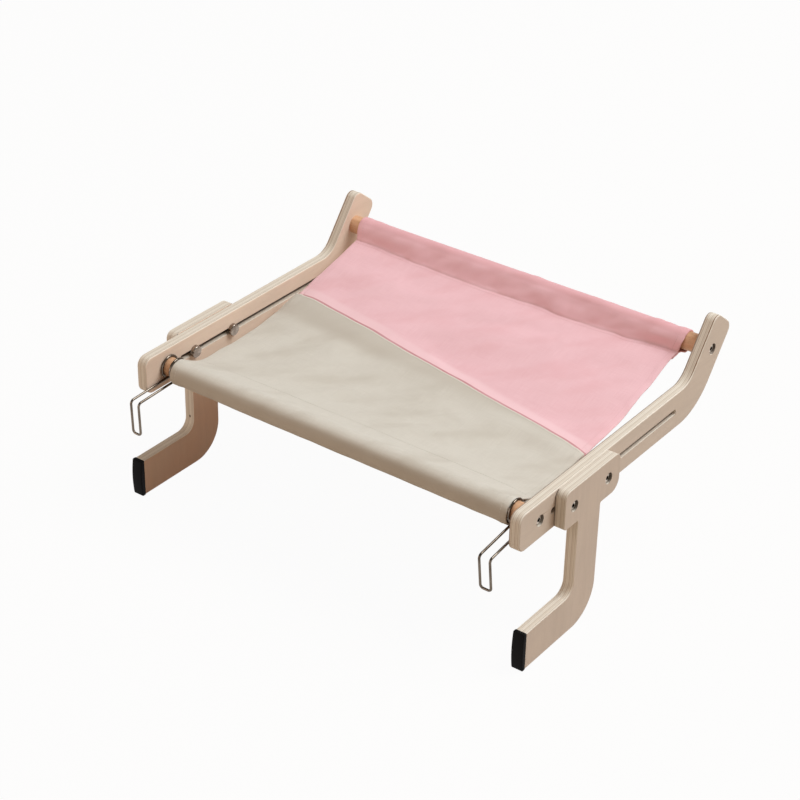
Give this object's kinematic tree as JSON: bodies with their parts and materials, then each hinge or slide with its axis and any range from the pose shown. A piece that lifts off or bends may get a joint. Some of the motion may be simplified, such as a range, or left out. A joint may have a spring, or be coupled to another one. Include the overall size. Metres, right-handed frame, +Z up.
{
  "type": "cat hammock",
  "caption": "Hanging cat hammock: canvas sling on dowels between bent plywood arms, wire hooks that go over a board and sliding J-legs with rubber pads that press on it below.",
  "frame": {"origin": "middle of the front dowel's axis, on which both hooks hang", "axes": "+X along the dowels to the right as seen from the front, -Y towards the board that the hooks go over, +Z up"},
  "size_m": [0.4952, 0.4067, 0.2252],
  "materials": {
    "plywood": "birch plywood, clear matt, eased edges that show the plies",
    "beech": "turned beech, clear matt",
    "bolt_steel": "bright nickel plate",
    "insert_brass": "plain",
    "hook_wire": "bright nickel-plated spring wire",
    "pad_rubber": "matt black",
    "pink_canvas": "plain-woven canvas, dusty pink",
    "grey_canvas": "plain-woven canvas, warm grey"
  },
  "bodies": {
    "frame": {"left_arm": "plywood", "right_arm": "plywood", "front_dowel": "beech", "rear_dowel": "beech", "front_dowel_bolts": "bolt_steel", "rear_dowel_bolts": "bolt_steel", "front_dowel_inserts": "insert_brass", "rear_dowel_inserts": "insert_brass", "pink_panel": "pink_canvas", "grey_panel": "grey_canvas"},
    "left_leg": {"left_leg": "plywood", "left_foot_pad": "pad_rubber", "left_leg_bolts": "bolt_steel", "left_leg_nuts": "bolt_steel"},
    "right_leg": {"right_leg": "plywood", "right_foot_pad": "pad_rubber", "right_leg_bolts": "bolt_steel", "right_leg_nuts": "bolt_steel"},
    "left_hook": {"left_hook": "hook_wire"},
    "right_hook": {"right_hook": "hook_wire"}
  },
  "joints": [
    {"name": "left_leg_slide", "type": "slide", "parent": "frame", "child": "left_leg", "axis": [0, 1, 0], "range_m": [-0.0187, 0.1433]},
    {"name": "right_leg_slide", "type": "slide", "parent": "frame", "child": "right_leg", "axis": [0, 1, 0], "range_m": [-0.0187, 0.1433]},
    {"name": "left_hook_swivel", "type": "hinge", "parent": "frame", "child": "left_hook", "pos_m": [-0.2163, 0, 0], "axis": [1, 0, 0], "range_deg": [-170, 83]},
    {"name": "right_hook_swivel", "type": "hinge", "parent": "frame", "child": "right_hook", "pos_m": [0.2138, 0, 0], "axis": [1, 0, 0], "range_deg": [-170, 83]}
  ]
}
